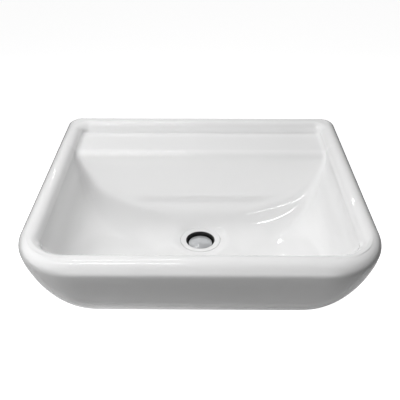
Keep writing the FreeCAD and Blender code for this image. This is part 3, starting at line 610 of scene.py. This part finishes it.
def plainMaterial(name):
    # one finish, with clouds in its colour and gloss and the grain as fine relief
    f, u = finishes[name], unevenness
    material, tree, shader, place = startMaterial(name)
    grain = addNode(tree, "ShaderNodeTexNoise", [("Vector", place, "Object")],
                    Scale=1000 / f["grain"], Detail=3.0)
    cloud = addNode(tree, "ShaderNodeTexNoise", [("Vector", place, "Object")],
                    Scale=1000 / u["cloud"], Detail=2.0)
    base = linear(f["colour"])
    darker = [channel * u["darkest"] for channel in base[:3]] + [1.0]
    tint = addNode(tree, "ShaderNodeMix", [("Factor", cloud, "Fac")],
                   {mixFirst: base, mixSecond: darker}, data_type="RGBA")
    tree.links.new(tint.outputs[mixResult], shader.inputs["Base Color"])
    gloss = addNode(tree, "ShaderNodeMapRange", [("Value", cloud, "Fac")],
                    **{"To Min": f["roughness"] * u["glossiest"],
                       "To Max": f["roughness"] * u["dullest"]})
    tree.links.new(gloss.outputs["Result"], shader.inputs["Roughness"])
    shader.inputs["Metallic"].default_value = f["metallic"]
    bump = addNode(tree, "ShaderNodeBump", [("Height", grain, "Fac")],
                   Strength=u["reliefStrength"], Distance=f["depth"] * mm)
    tree.links.new(bump.outputs["Normal"], shader.inputs["Normal"])
    return material


waste = {
    # the throat's dull black is painted shade for the deep shadow inside the drain hole
    "flange": "#DADADA", "throatShade": "#121212", "roughness": 0.14, "throatRoughness": 0.55,
    # mm; the throat's painted shade, dull black, lies inside this radius and above this level
    "throatRadius": 23.2, "throatBlend": 0.3, "throatBottom": -85.0,
    "grain": 0.625, "relief": 0.02, "reliefStrength": 0.3,  # grain and relief in mm
}


def wasteMaterial():
    # injection-moulded waste: white gloss outside and on the flange, and dull black painted
    # into its throat as painted shade for the deep shadow in the hole
    w = waste
    material, tree, shader, place = startMaterial("mouldedWaste")
    centre = addNode(tree, "ShaderNodeMapping", [("Vector", place, "Object")],
                     Location=(0, basin["drainReach"] * mm, 0), Scale=(1, 1, 0))
    away = addNode(tree, "ShaderNodeVectorMath", [("Vector", centre, "Vector")],
                   operation="LENGTH")
    inside = addNode(tree, "ShaderNodeMapRange", [("Value", away, "Value")], **{
        "From Min": (w["throatRadius"] - w["throatBlend"]) * mm,
        "From Max": (w["throatRadius"] + w["throatBlend"]) * mm,
        "To Min": 1.0, "To Max": 0.0})
    axes = addNode(tree, "ShaderNodeSeparateXYZ", [("Vector", place, "Object")])
    above = addNode(tree, "ShaderNodeMath", [(0, axes, "Z")], {1: w["throatBottom"] * mm},
                    operation="GREATER_THAN")
    # painted shade: dull black inside the throat's radius and above its bottom, where the hole
    # lies in deep shadow
    paintedShade = addNode(tree, "ShaderNodeMath", [(0, inside, "Result"), (1, above, "Value")],
                   operation="MULTIPLY")
    colour = addNode(tree, "ShaderNodeMix", [("Factor", paintedShade, "Value")],
                     {mixFirst: linear(w["flange"]), mixSecond: linear(w["throatShade"])},
                     data_type="RGBA")
    tree.links.new(colour.outputs[mixResult], shader.inputs["Base Color"])
    dull = addNode(tree, "ShaderNodeMapRange", [("Value", paintedShade, "Value")],
                   **{"To Min": w["roughness"], "To Max": w["throatRoughness"]})
    tree.links.new(dull.outputs["Result"], shader.inputs["Roughness"])
    grain = addNode(tree, "ShaderNodeTexNoise", [("Vector", place, "Object")],
                    Scale=1000 / w["grain"], Detail=2.0)
    bump = addNode(tree, "ShaderNodeBump", [("Height", grain, "Fac")],
                   Strength=w["reliefStrength"], Distance=w["relief"] * mm)
    tree.links.new(bump.outputs["Normal"], shader.inputs["Normal"])
    return material


nodeFinishes = {
    "flange_seal": "rubberGrey",
    "cone_seal": "rubberBlack",
    "slip_washer": "polytheneNatural",
    "back_nut": "polypropyleneWhite",
    "plug_cap": "platedPlug",
    "plug_seal": "rubberBlack",
    "plug_stem": "stainlessTurned",
    "cartridge": "nylonGrey",
    "cartridge_end_cap": "nylonGrey",
    "plug_spring": "stainlessTurned",
}
for side in ("left", "right"):
    nodeFinishes["fixing_bolt_" + side] = "zincPlated"
    nodeFinishes["wall_plug_" + side] = "nylonGrey"
    nodeFinishes["fixing_bush_" + side] = "polypropyleneWhite"
    nodeFinishes["fixing_washer_" + side] = "zincPlated"
    nodeFinishes["fixing_nut_" + side] = "zincPlated"


def dress(thing, material):
    thing.data.materials.clear()
    thing.data.materials.append(material)


# Floor, light and camera, in metres and watts

studio = {
    "floorLevel": -0.79, "floorReach": 7.0, "floor": "#F2F2F2", "glow": 0.9,
    "floorRoughness": 0.9, "floorSpecular": 0.1,
    "world": 0.05, "backdrop": 0.9, "aim": (0.0, -0.2, 0.0),
    # what the glaze and the metal mirror of the room: direction of each broad patch, strength
    "mirrored": [((0, -0.99, 0.14), 0.72), ((0, -0.85, 0.53), 0.7), ((0, 0.94, 0.34), 0.1),
                 ((-0.87, 0, 0.5), 1.2), ((0.87, 0, 0.5), 0.2)],
    "patchEdge": 0.72, "patchFull": 0.98,  # cosines of the angle from a patch's middle
    # soft boxes light the china but don't show in its glaze: centre, width, depth, watts
    "softBoxes": {
        "above": ((-0.35, -0.4, 1.45), 0.9, 0.6, 9.6),
        "aboveFront": ((-0.6, -0.9, 1.3), 0.9, 0.6, 13.2),
        "leftHigh": ((-1.0, -0.2, 1.1), 0.6, 0.6, 1.5),
        "frontLeft": ((-1.1, -1.4, 0.7), 1.0, 1.0, 1.9),
        "behind": ((0.0, 1.2, 1.2), 1.6, 1.0, 19.6),
    },
    # thin tubes show in the glaze as bright lines: one end, other end, thickness, watts
    "tubes": {
        "tubeFront": ((-0.79, -0.1, 1.4), (-0.06, -0.1, 1.4), 0.012, 1.3),
        "tubeMiddle": ((-0.53, 0.47, 1.4), (-0.04, 1.0, 1.4), 0.010, 0.6),
        "tubeBack": ((-0.27, 1.70, 1.4), (-0.9, 2.10, 1.4), 0.006, 0.32),
    },
}


def makeFloor():
    # a pale floor where it lies under a basin at the usual height; its own glow, which makes
    # it even and pale, is for camera rays only and so doesn't light the china
    reach, level = studio["floorReach"], studio["floorLevel"]
    points = [(-reach, -reach, level), (reach, -reach, level),
              (reach, reach, level), (-reach, reach, level)]
    mesh = bpy.data.meshes.new("floor")
    mesh.from_pydata(points, [], [(0, 1, 2, 3)])
    floor = bpy.data.objects.new("floor", mesh)
    bpy.context.collection.objects.link(floor)
    material, tree, shader, place = startMaterial("paleFloor")
    rays = addNode(tree, "ShaderNodeLightPath")
    glow = addNode(tree, "ShaderNodeMath", [(0, rays, "Is Camera Ray")], {1: studio["glow"]},
                   operation="MULTIPLY")
    tree.links.new(glow.outputs["Value"], shader.inputs["Emission Strength"])
    shader.inputs["Base Color"].default_value = linear(studio["floor"])
    shader.inputs["Roughness"].default_value = studio["floorRoughness"]
    shader.inputs["Specular IOR Level"].default_value = studio["floorSpecular"]
    shader.inputs["Emission Color"].default_value = (1, 1, 1, 1)
    mesh.materials.append(material)


def makeLamp(name, centre, along, width, depth, watts, lengthwise=False):
    # a flat lamp that faces the basin, its long side as near to the given direction as that
    # allows, or exactly along it when lengthwise
    light = bpy.data.lights.new(name, "AREA")
    light.shape = "RECTANGLE"
    light.size = width
    light.size_y = depth
    light.energy = watts
    lamp = bpy.data.objects.new(name, light)
    ahead = centre - Vector(studio["aim"])
    side = along.normalized()
    if lengthwise:
        ahead = ahead - ahead.dot(side) * side
    ahead = ahead.normalized()
    side = (side - side.dot(ahead) * ahead).normalized()
    lamp.matrix_world = Matrix.LocRotScale(
        centre, Matrix((side, ahead.cross(side), ahead)).transposed(), None)
    bpy.context.collection.objects.link(lamp)
    return lamp


def makeStudio():
    # the world is nearly dark, shows its bright patches to glossy rays only, and is a pale
    # backdrop for camera rays only
    world = bpy.data.worlds.new("studio")
    bpy.context.scene.world = world
    world.use_nodes = True
    tree = world.node_tree
    back = tree.nodes["Background"]
    back.inputs["Color"].default_value = (1, 1, 1, 1)
    direction = addNode(tree, "ShaderNodeTexCoord")
    rays = addNode(tree, "ShaderNodeLightPath")
    total = None
    for aim, strength in studio["mirrored"]:
        nearness = addNode(tree, "ShaderNodeVectorMath", [(0, direction, "Generated")],
                           {1: Vector(aim).normalized()}, operation="DOT_PRODUCT")
        patch = addNode(tree, "ShaderNodeMapRange", [("Value", nearness, "Value")],
                        interpolation_type="SMOOTHSTEP", **{
                            "From Min": studio["patchEdge"], "From Max": studio["patchFull"],
                            "To Max": strength})
        earlier = [(1, total, "Value")] if total else []
        total = addNode(tree, "ShaderNodeMath", [(0, patch, "Result")] + earlier, {1: 0.0},
                        operation="ADD")
    mirrored = addNode(tree, "ShaderNodeMath",
                       [(0, total, "Value"), (1, rays, "Is Glossy Ray")],
                       {2: studio["world"]}, operation="MULTIPLY_ADD")
    pale = addNode(tree, "ShaderNodeMath",
                   [(0, rays, "Is Camera Ray"), (2, mirrored, "Value")],
                   {1: studio["backdrop"]}, operation="MULTIPLY_ADD")
    tree.links.new(pale.outputs["Value"], back.inputs["Strength"])
    for name, (centre, width, depth, watts) in studio["softBoxes"].items():
        lamp = makeLamp(name, Vector(centre), Vector((1, 0, 0)), width, depth, watts)
        lamp.visible_glossy = False
    for name, (one, other, thickness, watts) in studio["tubes"].items():
        run = Vector(other) - Vector(one)
        lamp = makeLamp(name, Vector(one) + run / 2, run, run.length, thickness, watts,
                        lengthwise=True)
        lamp.visible_diffuse = False
    bpy.context.scene.view_settings.view_transform = "Standard"


view = {
    "sensor": 36.0, "lens": 52.346, "nearest": 0.01,
    "place": (0.004457, -0.964873, 0.511603), "down": 33.11, "aside": -0.379,  # degrees
}


def makeCamera():
    lens = bpy.data.cameras.new("camera")
    lens.sensor_width = view["sensor"]
    lens.lens = view["lens"]
    lens.clip_start = view["nearest"]
    camera = bpy.data.objects.new("camera", lens)
    down, aside = math.radians(view["down"]), math.radians(view["aside"])
    ahead = Vector((
        math.sin(aside) * math.cos(down), math.cos(aside) * math.cos(down), -math.sin(down)))
    camera.location = view["place"]
    camera.rotation_euler = ahead.to_track_quat("-Z", "Y").to_euler()
    bpy.context.collection.objects.link(camera)
    bpy.context.scene.camera = camera


makeCamera()
makeFloor()
makeStudio()
print("stage ready")
skin = glazedBasin()
dress(skin, glazedChinaMaterial())
made = {name: plainMaterial(name) for name in finishes}
for node, finish in nodeFinishes.items():
    dress(bpy.data.objects[node], made[finish])
dress(bpy.data.objects["waste_body"], wasteMaterial())
print("finishes given")
